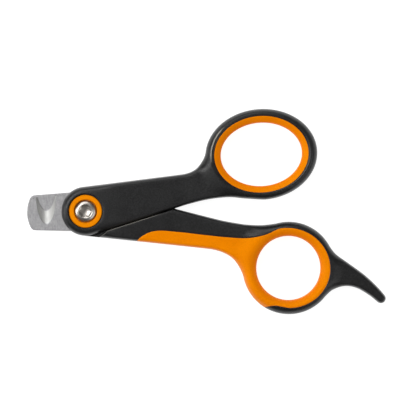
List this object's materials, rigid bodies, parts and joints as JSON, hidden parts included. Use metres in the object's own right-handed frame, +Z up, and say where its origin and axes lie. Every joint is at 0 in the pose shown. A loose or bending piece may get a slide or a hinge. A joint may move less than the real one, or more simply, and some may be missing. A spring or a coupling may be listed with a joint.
{
  "type": "pet nail trimmer",
  "caption": "Scissor-type claw trimmer: two moulded ring handles with soft grips on a screw pivot, each carrying a short notched steel blade",
  "frame": {"origin": "on the pivot axis, in the plane that the trimmer rests on", "axes": "+X from the pivot along the centre line between the closed handles, so the blades point along -X; +Y towards the thumb ring; +Z up along the pivot, towards the screw head"},
  "size_m": [0.1422, 0.0824, 0.01],
  "materials": {
    "handle_plastic": "fine-textured matt black glass-filled nylon",
    "soft_grip": "smooth orange soft-touch elastomer moulded onto the handle",
    "blade_steel": "stainless steel, ground flat, with a polished flute",
    "collar_plastic": "satin orange plastic",
    "plated_steel": "bright nickel-plated steel",
    "washer_nylon": "natural nylon",
    "spring_steel": "plain spring steel"
  },
  "bodies": {
    "lower_half": {"lower_handle": "handle_plastic", "lower_grip": "soft_grip", "lower_blade": "blade_steel", "lower_collar": "collar_plastic", "pivot_nut": "plated_steel", "thrust_washer": "washer_nylon", "disc_spring": "spring_steel", "pivot_screw": "plated_steel"},
    "upper_half": {"upper_handle": "handle_plastic", "thumb_ring_liner": "soft_grip", "upper_blade": "blade_steel", "upper_collar": "collar_plastic"}
  },
  "joints": [
    {"name": "pivot", "type": "hinge", "parent": "lower_half", "child": "upper_half", "pos_m": [0, 0, 0.005], "axis": [0, 0, 1], "range_deg": [0, 60]}
  ]
}
